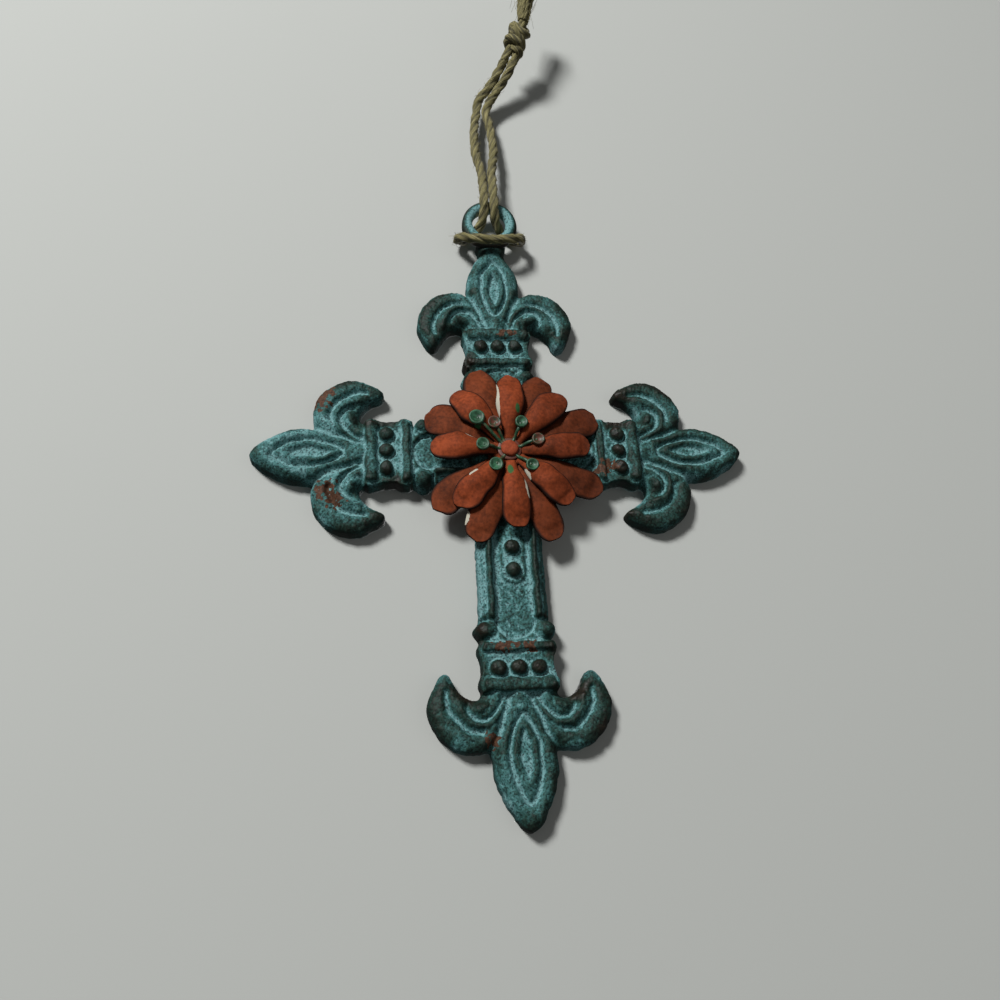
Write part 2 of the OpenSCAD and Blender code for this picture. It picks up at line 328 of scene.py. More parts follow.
knot = piece("jute_knot", verts, faces, "twine_knot", "twine", jute,
             fibre=np.concatenate([p[2] for p in parts]), ply=np.concatenate([p[3] for p in parts]))

# CASTING
# One grey-iron casting: four bars, four fleur-de-lis ends, a boss at the crossing and a ring
# on a neck. Sand-cast with soft edges and a flat back, painted verdigris and rubbed back.
BACK_Y, CROSSING_Z = 0.005, -0.1505
# each arm: its direction (x, y), how far out its bead row is, and how far its tip is past that row
ARMS = ((0, 1, 40.0, 44.0), (1, 0, 38.5, 44.0), (0, -1, 71.5, 46.5), (-1, 0, 38.5, 44.0))
TIP_LEAN = np.array((0, 0, -1.3, 0.0))
EDGE_H = 3.2
BEADS_ACROSS = (-6, 0, 6)
LOOSE_BEADS = ((0.3, -33.5), (0.3, -41))
RIVET_AT, RIVET_HOLE_R = (1, -1.5), 1.6
RING_UP, RING_R, WIRE_R, RING_H = 93.5, 8.2, 2.2, 6
# one half of an end, all as (across, out from the bead row): its outline, grooves and ridges
HALF_OUTLINE = np.array([
    (10.8, -80), (10.8, -15.6), (11.4, -14.2), (12.6, -13.2), (13.1, -12), (12.5, -10.4), (11.2, -9),
    (11.3, -8), (12, -6.9), (12.2, -5.6), (11.9, -4.4), (11.1, -3.2), (10.9, -1), (11, 1.4), (11.6, 3),
    (12.2, 4.4), (12.1, 6), (11.5, 7.2), (12, 8.2), (13.4, 8.9), (15.4, 8.4), (17.6, 6.8), (19.2, 4.6),
    (20, 2.6), (21, 1.1), (22.3, 0.7), (23.6, 1.4), (25.2, 3.6), (26.8, 6.8), (27.7, 10), (27.6, 13.2),
    (26.4, 16.6), (24.2, 19.8), (21.2, 22.5), (17.8, 23.9), (14.2, 24.3), (11.4, 23.9), (10.1, 23.8),
    (9.5, 25.4), (9.6, 28.4), (9.2, 31.6), (8, 35.2), (6.2, 39), (4, 42.5), (1.9, 45.2), (0, 46.1),
])
VALLEY = np.array([(3.4, 7.6), (4.4, 10.4), (5.8, 15.5), (7.6, 20), (9.6, 23.2), (10.6, 24.8)])
CRESCENT = np.array([(21.8, 6.6), (22, 9.6), (20.8, 13.2), (18.4, 16.3), (15.2, 18.2), (12.2, 18.4)])
INNER_GROOVE = np.array([(16, 11), (15.3, 13.4), (13.2, 15), (10.4, 14.9), (7.9, 13.1), (6.2, 10.6),
                         (5.4, 8)])
THIN_RIDGE = np.array([(18.6, 8.6), (18.2, 11.6), (16.3, 14.8), (13, 16.8), (9.4, 16.2), (6.6, 13.4),
                       (4.8, 10)])


def line_distance(points, u, v):
    """Distance from each (u, v) to the nearest piece of the broken line through the points."""
    best = np.full(np.shape(u), 1e9)
    for (x0, y0), (x1, y1) in zip(points[:-1], points[1:]):
        dx, dy = x1 - x0, y1 - y0
        t = np.clip(((u - x0) * dx + (v - y0) * dy) / (dx * dx + dy * dy), 0, 1)
        best = np.minimum(best, np.hypot(u - x0 - t * dx, v - y0 - t * dy))
    return best


def inside(points, u, v):
    """True where a line from (u, v) crosses the closed outline an odd number of times."""
    odd = np.zeros(np.shape(u), bool)
    for (x0, y0), (x1, y1) in zip(points, np.roll(points, -1, axis=0)):
        if y0 != y1:
            odd ^= ((y0 > v) != (y1 > v)) & (u < (x1 - x0) * (v - y0) / (y1 - y0) + x0)
    return odd


def rounded(points, times=2):
    """Chaikin's corner cutting: each side keeps its middle half, and the ends stay."""
    for _ in range(times):
        a, b = points[:-1], points[1:]
        cut = np.stack([0.75 * a + 0.25 * b, 0.25 * a + 0.75 * b], axis=1).reshape(-1, 2)
        points = np.concatenate([points[:1], cut, points[-1:]])
    return points


def step(low, high, x):
    """Smooth step from 0 at low to 1 at high."""
    t = np.clip((x - low) / (high - low), 0, 1)
    return t * t * (3 - 2 * t)


def swell(distance, width):
    """Bell curve across a ridge or groove."""
    return np.exp(-((distance / width) ** 2))


def almond(u, v, middle, half, wide):
    """Near the edge, the distance to a pointed oval on the axis: its half width is wide times
    (1 - t squared) to the power 0.72, t running from -1 to 1 along it. Negative inside."""
    t = np.clip((v - middle) / half, -1, 1)
    full = np.maximum(1 - t**2, 0.02)
    slope = 1.44 * wide / half * t * full**-0.28
    beyond = np.maximum(np.abs(v - middle) - half, 0)
    return np.hypot((u - wide * full**0.72 * (beyond == 0)) / np.hypot(1, slope), beyond) * np.where(
        (u < wide * full**0.72) & (beyond == 0), -1, 1)


def arm_places(x, y):
    """Each point's own arm: how far across, how far out from the bead row, and the arm's reach."""
    which = np.argmax(np.stack([y, x, -y, -x]), axis=0)
    ax, ay, row, reach = (np.array(ARMS)[:, k][which] for k in range(4))
    v = x * ax + y * ay - row
    return x * ay - y * ax - TIP_LEAN[which] * np.clip(v / 45, 0, 1) ** 1.5, v, reach, which


def stretched(v, reach):
    """Past 24, the leaf's own part, v is scaled so that each arm's tip falls on the outline's."""
    return np.where(v > 24, 24 + (v - 24) * 21.8 / (reach - 24.2), v)


def loose_bead_distance(x, y):
    """Distance to the nearer of the two beads on the stem's tongue."""
    return np.minimum(*(np.hypot(x - bx, y - by) for bx, by in LOOSE_BEADS))


OUTLINE = rounded(HALF_OUTLINE)
VALLEY, CRESCENT, INNER_GROOVE, THIN_RIDGE = map(rounded, (VALLEY, CRESCENT, INNER_GROOVE, THIN_RIDGE))
CLOSED = np.concatenate([OUTLINE, [(0, -80)]])


def outline_distance(x, y):
    """Distance inside the casting's outline, negative outside, with the neck under the ring."""
    u, v, reach, which = arm_places(x, y)
    u, v = np.abs(u), stretched(v, reach)
    far = line_distance(OUTLINE, u, v)
    far = np.where(inside(CLOSED, u, v), far, -far) + 0.08 * waves(x, y, 6, 11) + 0.04 * waves(x, y, 2.4, 12)
    neck = 4.4 + 0.25 * np.abs(y - 81) - np.abs(x - 0.5)
    neck = np.minimum(neck, 86.4 - y)
    return np.where((which == 0) & (y > 76), np.maximum(far, neck), far)


def relief(x, y, d):
    """Height of the front face over the flat back, built up from the bars, bands and leaves."""
    wx, wy = 0.13 * waves(x, y, 9, 21), 0.13 * waves(x, y, 9, 22)
    u, v, reach, _ = arm_places(x, y)
    u, v = u + wx, v + wy
    a, v = np.abs(u), stretched(v, reach)
    t = 1 - np.clip(d / 4.6, 0, 1)
    dome = EDGE_H + 3.5 * np.sqrt(1 - t**2)
    # a bar: the outer slope, the side ridge, and the sunken panel with its arched end
    panel = np.hypot(a, np.maximum(v + 14.6, 0)) - 5.9
    outer = EDGE_H + 2.8 * step(-0.6, 2.4, d) + 1.9 * step(2.2, 3.4, d)
    bar = np.minimum(5.3 + 2.6 * step(-0.5, 1.0, panel), outer)
    bar += 0.55 * swell(a - 7.2, 1.2) * step(-15, -16.4, v)
    away = np.hypot((a - 9.2) / 1.12, v + 11.6)
    bar = bar - 1.3 * step(-15.8, -14.6, v) * step(-0.6, 0.4, panel) - 0.7 * swell(away - 3.3, 0.6)
    bar = np.maximum(bar, 3.2 * (away < 2.9) + 4.9 * np.sqrt(np.clip(1 - (away / 2.9) ** 2, 0, 1)))
    # the band, the bead row and the collar
    row = EDGE_H + 3.4 * step(-0.3, 1.8, d)
    row += 1.6 * step(1.7, 0.9, np.abs(v + 6.3)) * step(0.3, 1.8, d) - 0.9 * swell(v + 8.3, 0.7)
    row += 2.0 * np.sqrt(np.clip(1 - ((v - 5.1) / 2.3) ** 2, 0, 1)) * step(0.2, 2, d)
    far = np.stack([np.hypot(u - c, v - 0.15) for c in BEADS_ACROSS]).min(0)
    row = np.maximum(row, 6.5 + np.sqrt(np.clip(2.55**2 - far**2, 0, 9)))
    row -= 0.35 * swell(far - 2.9, 0.5)
    # the leaf and the two curls
    leaf = dome + 0.7 * swell(u, 1.3) * step(16, 12.5, v)
    leaf -= 2.0 * swell(line_distance(VALLEY, a, v), 1.25)
    leaf += 0.5 * swell(almond(a, v, 26, 16.5, 7), 1.5) * (v > 12)
    leaf -= 1.5 * swell(almond(a, v, 25.8, 12.2, 4.6), 0.8)
    leaf += 0.55 * swell(almond(a, v, 25, 8.4, 3), 0.65)
    leaf -= 1.0 * step(0.4, -0.7, almond(a, v, 24.8, 6.8, 1.9))
    leaf -= 1.6 * swell(line_distance(CRESCENT, a, v), 1.0)
    leaf += 0.8 * swell(line_distance(THIN_RIDGE, a, v), 0.8)
    leaf -= 1.3 * swell(line_distance(INNER_GROOVE, a, v), 0.85)
    turned = np.hypot((a - 12) * 0.88 + (v - 11.2) * 0.47, ((v - 11.2) * 0.88 - (a - 12) * 0.47) * 1.7)
    leaf += 1.1 * step(2.9, 1.2, turned)
    leaf -= 0.9 * step(8, 9.2, a) * step(11.5, 8, v) * step(17, 14, a)
    h = bar + (row - bar) * step(-9, -8.2, v)
    h = h + (leaf - h) * np.maximum(step(6.6, 7.6, v), step(12.3, 13.1, a) * (v > -4))
    # the raised tongue with two loose beads on the bottom bar
    tongue = np.maximum(np.abs(x - 0.3 + wx) - 4.2, -46 - y)
    tongue = np.maximum(tongue, np.where(y < -41, np.hypot(x - 0.3, y + 41) - 4.4, -9))
    loose = loose_bead_distance(x, y)
    h = h + 0.7 * step(0.3, -0.5, tongue) * (y < -12)
    h = np.maximum(h, np.where(loose < 2.5, 6.3 + np.sqrt(np.clip(2.5**2 - loose**2, 0, 9)), 0))
    # the boss under the flower, and the neck rising to the ring
    h = np.maximum(h, 8 - 3 * step(12, 13.4, np.hypot(x, y)) - 40 * (np.hypot(x, y) > 13.4))
    neck = 5.4 * step(5.4, 2.6, np.abs(x - 0.5)) * step(73, 80, y)
    h = np.where(y > 73, np.maximum(h, neck), h)
    h = h + 0.09 * waves(x, y, 3.2, 31) + 0.07 * waves(x, y, 1.5, 32)
    return np.maximum(h, 2.4)


def rim_distance(x, y):
    """Distance to the edge of the front face: the outline, drawn in a little, or the rivet hole."""
    hole = np.hypot(x - RIVET_AT[0], y - RIVET_AT[1]) - RIVET_HOLE_R
    return np.minimum(outline_distance(x, y) - 0.3, hole)


# the front face is a square grid; the squares that lie on the casting are kept
PITCH = 0.36
gx, gy = np.meshgrid(np.arange(-84, 84.3, PITCH), np.arange(-120, 88, PITCH), indexing="ij")
d = rim_distance(gx, gy)
middle = (d[1:, 1:] + d[:-1, 1:] + d[1:, :-1] + d[:-1, :-1]) / 4
kept = middle > 0
# squares that meet only at a corner get a neighbour, so that no point is shared by two rims
for _ in range(4):
    crossed = kept[1:, 1:] & kept[:-1, :-1] & ~kept[:-1, 1:] & ~kept[1:, :-1]
    kept[:-1, 1:] |= crossed
    crossed = kept[:-1, 1:] & kept[1:, :-1] & ~kept[1:, 1:] & ~kept[:-1, :-1]
    kept[1:, 1:] |= crossed
i, k = np.nonzero(kept)
size = gx.shape[1]
quads = np.stack([i * size + k, (i + 1) * size + k, (i + 1) * size + k + 1, i * size + k + 1], -1)
used, quads = np.unique(quads, return_inverse=True)
quads = quads.reshape(-1, 4)
x, y = gx.ravel()[used], gy.ravel()[used]
# the rim is made of the sides that only one square has
sides = np.concatenate([quads[:, [0, 1]], quads[:, [1, 2]], quads[:, [2, 3]], quads[:, [3, 0]]])
key = np.sort(sides, axis=1) @ (len(used), 1)
_, first, count = np.unique(key, return_index=True, return_counts=True)
rim = sides[first[count == 1]]
on_rim = np.unique(rim)

# the rim's points are moved from the grid onto the smooth edge
for _ in range(3):
    rx, ry = x[on_rim], y[on_rim]
    here = rim_distance(rx, ry)
    sx = (rim_distance(rx + 0.05, ry) - rim_distance(rx - 0.05, ry)) / 0.1
    sy = (rim_distance(rx, ry + 0.05) - rim_distance(rx, ry - 0.05)) / 0.1
    pull = np.clip(here / np.maximum(sx**2 + sy**2, 0.3), -0.25, 0.25)
    x[on_rim] -= pull * sx
    y[on_rim] -= pull * sy
inward = np.stack([sx, sy], -1) / np.maximum(np.hypot(sx, sy), 0.2)[:, None]
depth = outline_distance(x, y)
h = relief(x, y, depth)

# how far each place stands above or below the casting around it, within about 1.5 mm
field, weight = np.zeros(gx.shape), np.zeros(gx.shape)
field.ravel()[used], weight.ravel()[used] = h, 1
for _ in range(3):
    for axis in (0, 1):
        field = sum(np.roll(field, n, axis) for n in (-2, -1, 0, 1, 2)) / 5
        weight = sum(np.roll(weight, n, axis) for n in (-2, -1, 0, 1, 2)) / 5
around_h = (field / np.maximum(weight, 1e-6)).ravel()[used]

# the paint's wear goes with it, from below 0 in hollows to 0.36 on ridges, and leaves are worn less
u, v, _, _ = arm_places(x, y)
proud = 0.36 * np.tanh((h - around_h) / 0.42)
proud = np.where((proud > 0) & (v > 8), 0.6 * proud, proud)
proud = proud + np.where(v > 25, -0.1, 0.04) * step(6, 12, v)
# rubbed along the edges of the ends and at the leaves' tips, and painted shade down the stem's right side
near_edge = step(np.where(v > 25, 3.0, 5.2), 0.3, depth) * step(-17, -12, v)
proud = proud * (1 - 0.5 * near_edge) + near_edge * (0.3 + 0.2 * waves(x, y, 14, 51))
proud += 0.3 * step(36, 43, v) + 0.3 * step(8.4, 9.8, x) * (v < -15) * (y < -30)
# more to the right, as painted shade, and less on the left leaf
proud += 0.1 * step(0, 24, x - 0.2 * y - 14)
proud -= 0.15 * step(-46, -58, x) * step(14, 11, abs(y - 1))
# the beads are the most handled of all
bead_like = loose_bead_distance(x, y)
for across in BEADS_ACROSS:
    bead_like = np.minimum(bead_like, np.hypot(u - across, v))
proud += 0.24 * step(2.9, 2.2, bead_like)

# the wall: down from the front's rim, with the draft that a one-sided mould gives it
order = np.full(len(x), -1)
order[on_rim] = np.arange(len(on_rim))
WALL_STEPS = ((0.16, 0.72), (0.24, 0.42), (0.29, 0.14), (0.31, 0.0))
rings = []
for out, z in WALL_STEPS:
    rings.append(np.stack([x[on_rim] - out * inward[:, 0], y[on_rim] - out * inward[:, 1],
                           h[on_rim] * z], -1))
n = len(on_rim)
flat = np.concatenate([np.stack([x, y, h], -1), *rings])
walls = []
upper = rim
for level in range(len(WALL_STEPS)):
    lower = len(x) + level * n + order[rim]
    walls.append(np.stack([upper[:, 1], upper[:, 0], lower[:, 0], lower[:, 1]], -1))
    upper = lower
# the last ring is the edge of the flat back, which has one even tone
proud = np.concatenate([proud] + [proud[on_rim] + 0.1] * 3 + [np.full(n, 0.14)])
faces = np.concatenate([quads, *walls])


def hung(flat):
    """From millimetres on the flat back to metres as the cross hangs."""
    return np.stack([flat[:, 0], -flat[:, 2], flat[:, 1]], -1) / 1000 + (0, BACK_Y, CROSSING_Z)


# verdigris paint on grey iron: matte, thick in the hollows, rubbed to dark brown iron on high places;
# its clouds are about 4 mm and its grain is under 1 mm
verdigris, tree, shader = finish("verdigris_painted_cast_iron")
place = node(tree, "ShaderNodeTexCoord").outputs["Object"]
# high reads the rubbed wear together with the painted shade on the right side
high = node(tree, "ShaderNodeAttribute", {"attribute_name": "proud"}).outputs["Fac"]
bare = node(tree, "ShaderNodeAttribute", {"attribute_name": "bare"}).outputs["Fac"]
cloud = node(tree, "ShaderNodeTexNoise", Vector=place, Scale=260.0, Detail=5.0, Roughness=0.6).outputs[0]
grit = node(tree, "ShaderNodeTexNoise", Vector=place, Scale=1500.0, Detail=3.0, Roughness=0.7).outputs[0]
wide = node(tree, "ShaderNodeTexNoise", Vector=place, Scale=70.0, Detail=3.0).outputs[0]


def sums(tree, *terms):
    """Sum of (factor, socket) terms and plain numbers."""
    total = 0.0
    for term in terms:
        if isinstance(term, tuple):
            made = node(tree, "ShaderNodeMath", {"operation": "MULTIPLY_ADD"},
                        i0=term[1], i1=float(term[0]), i2=total)
            total = made.outputs[0]
        else:
            total = node(tree, "ShaderNodeMath", i0=total, i1=float(term)).outputs[0]
    return total


# besides the rubbed wear, this value carries painted shade on the right side and down the stem's right side
wear_and_shade_level = sums(tree, (0.9, high), (0.45, cloud), (0.7, grit), (0.6, wide), -0.68)
paint = ramp(tree, wear_and_shade_level, (0.0, "#6b9596"), (0.13, "#4a7878"), (0.27, "#315b58"), (0.42, "#203d36"),
             (0.58, "#14271f"), (0.9, "#211a11"))
pits = node(tree, "ShaderNodeTexNoise", Vector=place, Scale=1600.0, Detail=2.0, Roughness=0.5).outputs[0]
paint = blended(tree, 0.85, paint, ramp(tree, pits, (0.36, 0.12), (0.5, 0.9), (0.7, 1.0)), "MULTIPLY")
iron = ramp(tree, grit, (0.3, "#2a1c15"), (0.55, "#4a3020"), (0.75, "#6a4630"))
chip = ramp(tree, sums(tree, (1.0, bare), (0.5, cloud), -0.25), (0.45, 0.0), (0.55, 1.0))
tree.links.new(blended(tree, chip, paint, iron), shader.inputs["Base Color"])
tree.links.new(ramp(tree, wear_and_shade_level, (0.1, 0.85), (0.8, 0.5)), shader.inputs["Roughness"])
shader.inputs["Specular IOR Level"].default_value = 0.25
grain = sums(tree, (1.0, grit), (1.4, cloud))
lift = node(tree, "ShaderNodeBump", Strength=0.7, Distance=0.0002, Height=grain)
tree.links.new(lift.outputs[0], shader.inputs["Normal"])

# bare brown places: (across, up, radius) in millimetres from the crossing
BARE = ((-60.5, 19.5, 3.6), (-57.5, 22, 2.4), (-58, -13.5, 3.2), (-55, -16.5, 2.6), (-6, -65.3, 1.5),
        (-3.2, -65.2, 1.6), (-0.4, -65.3, 1.1), (3.8, -65.4, 1.7), (-9, -92, 2), (34.5, -5.5, 2.4),
        (32, -7, 2.2), (2, 45.3, 1.5), (4.4, 45.2, 1.5))
bare = np.zeros(len(flat))
x, y = flat[:, 0], flat[:, 1]
ragged = 0.35 * waves(x, y, 2.6, 61) + 0.15 * waves(x, y, 1, 62)
for bx, by, br in BARE:
    bare = np.maximum(bare, step(1.4, 0.5, np.hypot(x - bx, y - by) / br + ragged))
bare[-n:] = 0


def ring_shell():
    """The cast ring: a torus whose section is a little uneven, thicker towards the neck."""
    long, around = 120, 32
    a, b = np.meshgrid(np.linspace(0, 2 * np.pi, long, endpoint=False),
                       np.linspace(0, 2 * np.pi, around, endpoint=False), indexing="ij")
    r = WIRE_R + 0.1 * waves(np.cos(a) * 4, np.sin(a) * 4, 5, 41) + 0.5 * swell(np.sin(a) + 1, 0.3)
    out = RING_R + r * np.cos(b)
    ring = np.stack([out * np.cos(a), RING_UP + out * np.sin(a),
                     RING_H + np.minimum(r, 2.28) * np.sin(b)], -1)
    i, k = np.meshgrid(np.arange(long), np.arange(around), indexing="ij")
    i2, k2 = (i + 1) % long, (k + 1) % around
    quads = np.stack([i * around + k, i2 * around + k, i2 * around + k2, i * around + k2], -1)
    return ring.reshape(-1, 3), quads.reshape(-1, 4)


ring, ring_faces = ring_shell()
ring_proud = 0.25 + 0.5 * np.clip(np.hypot(ring[:, 0], ring[:, 1] - RING_UP) - RING_R - 1, -1, 1)
verts, faces = joined([(flat, faces), (ring, ring_faces)])
cross = piece("iron_cross", hung(verts), faces, "cross_casting", "casting", verdigris,
              proud=np.concatenate([proud, ring_proud]),
              bare=np.concatenate([bare, np.zeros(len(ring))]))


def close_back(made):
    """Fills the flat back across its open rim."""
    bm = bmesh.new()
    bm.from_mesh(made.data)
    open_edges = [e for e in bm.edges if e.is_boundary]
    new = bmesh.ops.triangle_fill(bm, edges=open_edges, use_beauty=True, normal=(0, 1, 0))
    for f in new["geom"]:
        if isinstance(f, bmesh.types.BMFace):
            f.smooth = False
    bm.to_mesh(made.data)
    bm.free()


close_back(cross)

# FLOWER
# Two stampings of thin steel sheet, eight petals each, crowned along their middles and painted
# brick red. The rivet clamps both on the boss, and the upper one's petals stand off the lower's.
FLOWER_AT = np.array((*RIVET_AT, 0.0))
# each petal: clockwise from the top in degrees, reach, half width, sideways bend
BACK_PETALS = ((25.5, 30.6, 5.5, 0.3), (67, 33, 5.7, -0.5), (115, 32.8, 5.6, 0.4),
               (156.5, 33.2, 5.5, -0.2), (201, 32.8, 5.3, 0.5), (232.5, 31.4, 5.6, -0.4),
               (297, 30, 5.8, 0.6), (342.5, 32, 5.8, -0.6))
FRONT_PETALS = ((3, 27.4, 4.8, 0.2), (44.5, 27.6, 5, -0.2), (87.5, 26.8, 4.9, 0.3),
                (135, 26.8, 4.9, -0.1), (177.5, 27.2, 4.9, 0.1), (222, 26.6, 4.8, -0.3),
                (271.5, 25.6, 4.8, 0.2), (319.5, 27, 4.9, 0.4))
# where the petals leave the hub, and the sheet's thickness
HUB = 3.6
SHEET = 1.1


def blade(turn, reach, half, skew, base, rise, blunt, crown, seed, rows=44, around=36):
    """One petal, narrow at the hub and widest two thirds out. Along s it rises and its end bends
    down a little; across t it is crowned; its section is a flat oval, one sheet thick."""
    s = np.linspace(0, 1, rows)[:, None]
    s = 1 - (1 - s) ** 1.35
    q = np.linspace(0, 2 * np.pi, around, endpoint=False)[None, :]
    t = np.sign(np.cos(q)) * np.abs(np.cos(q)) ** 0.75
    skin_h = 0.5 * np.sign(np.sin(q)) * np.abs(np.sin(q)) ** 0.35
    wide = 0.34 + 0.66 * np.sin(np.clip(s / 0.68, 0, 1) * np.pi / 2) ** 1.5
    wide = wide * (1 - np.clip((s - 0.58) / 0.42, 0, 1) ** blunt) ** (1 / 2.3)
    wide = wide * (1 + 0.06 * waves(s * 10 + seed, t * 0 + np.sign(t) * 5, 5, seed))
    r = HUB + (reach - HUB) * s
    x = t * wide * half + skew * np.sin(s * np.pi) + 0.3 * skew * s
    r = r + 0.25 * waves(x, r * 0, 5, seed + 50) * s
    z = base + rise * np.sin(np.pi / 2 * np.minimum(s / 0.66, 1)) ** 1.3
    z = z - (0.7 + 0.4 * rise) * step(0.6, 1, s)
    z = z + crown * (1 - t**2) * np.sin(np.clip(s * 1.15, 0, 1) * np.pi) ** 0.6
    z = z + skin_h * SHEET + 0.12 * waves(x + seed * 3, r, 7, seed + 90)
    a = math.radians(turn)
    places = np.stack([x * np.cos(a) + r * np.sin(a), -x * np.sin(a) + r * np.cos(a), z + 0 * x], -1)
    verts, faces = skin(places)
    own = np.stack([x + 0 * r, r + 0 * x + seed * 40, np.abs(t) + 0 * s], -1).reshape(-1, 3)
    return verts + FLOWER_AT, faces, np.concatenate([own, own[[0, -1]]])


def disc(radius, low, high, around=72):
    """A flat round plate with its rim rounded over, as rings from the middle out and back."""
    r = np.array([0.02, 0.5, 0.85, 0.97, 1, 0.97, 0.85, 0.5, 0.02]) * radius
    z = np.array([high, high, high, high - 0.1, (low + high) / 2, low + 0.1, low, low, low])
    a = -np.linspace(0, 2 * np.pi, around, endpoint=False)[None, :]
    rings = np.stack([r[:, None] * np.cos(a), r[:, None] * np.sin(a), z[:, None] + 0 * a], -1)
    verts, faces = skin(rings)
    return verts + FLOWER_AT, faces


# stove-dried red enamel on steel sheet: flat, browner where it is thin, darker towards the edges, with
# painted shade darkening it to the right; its clouds are about 8 mm and its grain about 1 mm
def brick_red(name, light, middle, dark):
    """Red enamel with brown thin places, dark rubbed rims, painted shade towards the right, and a few pale
    chips on the edges.
    """
    made, tree, shader = finish(name)
    own = node(tree, "ShaderNodeAttribute", {"attribute_name": "own"}).outputs["Vector"]
    apart = node(tree, "ShaderNodeSeparateXYZ", i0=own).outputs
    place = node(tree, "ShaderNodeTexCoord").outputs["Object"]
    cloud = node(tree, "ShaderNodeTexNoise", Vector=place, Scale=120.0, Detail=5.0, Roughness=0.6).outputs[0]
    grit = node(tree, "ShaderNodeTexNoise", Vector=place, Scale=900.0, Detail=3.0, Roughness=0.6).outputs[0]
    speckle = sums(tree, (0.7, cloud), (0.6, grit), -0.15)
    tone = ramp(tree, speckle, (0.26, dark), (0.46, middle), (0.64, light))
    across = node(tree, "ShaderNodeSeparateXYZ", i0=place).outputs[0]
    # painted shade: darker to the right across the object, down to 0.58 at 26 mm right of the middle
    worn = ramp(tree, across, (0.0, 1.0), (0.026, 0.58))
    tone = blended(tree, 1.0, tone, worn, "MULTIPLY")
    rim = ramp(tree, sums(tree, (1.0, apart[2]), (0.3, cloud), -0.15), (0.8, 0.0), (0.96, 1.0))
    tone = blended(tree, rim, tone, "#1d0f0a")
    streak = node(tree, "ShaderNodeAttribute", {"attribute_name": "chip"}).outputs["Fac"]
    pale = ramp(tree, sums(tree, (1.0, streak), (0.8, grit), -0.4), (0.5, 0.0), (0.58, 1.0))
    tone = blended(tree, pale, tone, "#a9a596")
    smear = node(tree, "ShaderNodeAttribute", {"attribute_name": "green"}).outputs["Fac"]
    smear = ramp(tree, sums(tree, (1.0, smear), (0.5, cloud), -0.25), (0.35, 0.0), (0.7, 0.9))
    tree.links.new(blended(tree, smear, tone, "#1f5a34"), shader.inputs["Base Color"])
    shader.inputs["Roughness"].default_value = 0.75
    shader.inputs["Specular IOR Level"].default_value = 0.12
    grain = sums(tree, (1.0, grit), (1.2, cloud))
    lift = node(tree, "ShaderNodeBump", Strength=0.5, Distance=0.00015, Height=grain)
    tree.links.new(lift.outputs[0], shader.inputs["Normal"])
    return made


def stamping(name, stands_for, petals, base, rise, blunt, crown, seed, hub, material, chips, smears):
    """Eight petals and their hub as one piece, with its chipped edges and its green smears."""
    parts = [blade(*p, base, rise, blunt, crown, seed + n) for n, p in enumerate(petals)]
    own = [p[2] for p in parts]
    round_hub = disc(hub, base - SHEET / 2, base + SHEET / 2)
    own.append(np.stack([round_hub[0][:, 0], round_hub[0][:, 1], 0.2 + 0 * round_hub[0][:, 0]], -1))
    verts, faces = joined([p[:2] for p in parts] + [round_hub])
    own = np.concatenate(own)
    chip, green = np.zeros(len(verts)), np.zeros(len(verts))
    for x, y, rx, ry in chips:
        near = step(1.3, 0.6, np.hypot((verts[:, 0] - x) / rx, (verts[:, 1] - y) / ry))
        chip = np.maximum(chip, near * step(0.6, 0.9, own[:, 2]))
    for x, y, rx, ry in smears:
        green = np.maximum(green, step(1.4, 0.3, np.hypot((verts[:, 0] - x) / rx, (verts[:, 1] - y) / ry)))
    return piece(name, hung(verts), faces, stands_for, "petals", material, own=own, chip=chip, green=green)


stamping("lower_petals", "back_petals", BACK_PETALS, 8.6, 0.5, 4.6, 1.6, 100, 7,
         brick_red("red_enamel_lower_petals", "#70341a", "#582812", "#38180a"),
         ((-15, -24, 2.5, 3), (-4, -16, 1.2, 4), (12, -20, 2, 2.5)), ())
stamping("upper_petals", "front_petals", FRONT_PETALS, 10.2, 2.5, 3.5, 2.0, 200, 5.6,
         brick_red("red_enamel_upper_petals", "#873d1f", "#6c2f16", "#45200e"),
         ((-2.5, 15, 1.2, 8), (-11, 3.5, 2.5, 1.5), (6, -14, 1.2, 6), (-10, -12, 3, 3)),
         ((0.6, -9.5, 1.1, 2.2), (4.2, 12, 0.9, 2), (-9, 6, 1.4, 1)))

# STAMENS
# Seven wires on a washer, each bent up and ended in a small dished cup, all painted leaf green.
# The rivet's head clamps the washer on the petals, and the paint on two cups and the stalks is thin.
# each stalk: clockwise from the top in degrees, reach, the cup's radius, and its rise
STALKS = ((-48, 14, 2.6, 3.2), (-30, 9.4, 2.2, 2), (26, 9, 2.1, 2.4), (77, 9.2, 2.1, 2.2),
          (137, 9.4, 2.1, 2.3), (217, 8.2, 2.3, 2.2), (272, 8.8, 2.2, 2.4))
RUBBED_CUPS = (77, -30)
STALK_R = 0.55


def cup(radius, around=40):
    """A dished button turned about its own axis: base, side, round rim, and a hollow middle."""
    r = np.array([0.02, 0.5, 0.8, 0.97, 1, 0.96, 0.86, 0.7, 0.5, 0.3, 0.02]) * radius
    z = np.array([0, 0.02, 0.12, 0.6, 1.15, 1.5, 1.6, 1.45, 1.05, 0.85, 0.8])
    a = np.linspace(0, 2 * np.pi, around, endpoint=False)[None, :]
    uneven = 1 + 0.03 * np.cos(3 * a + radius * 9)
    return skin(np.stack([r[:, None] * np.cos(a) * uneven, r[:, None] * np.sin(a), z[:, None] + 0 * a], -1))


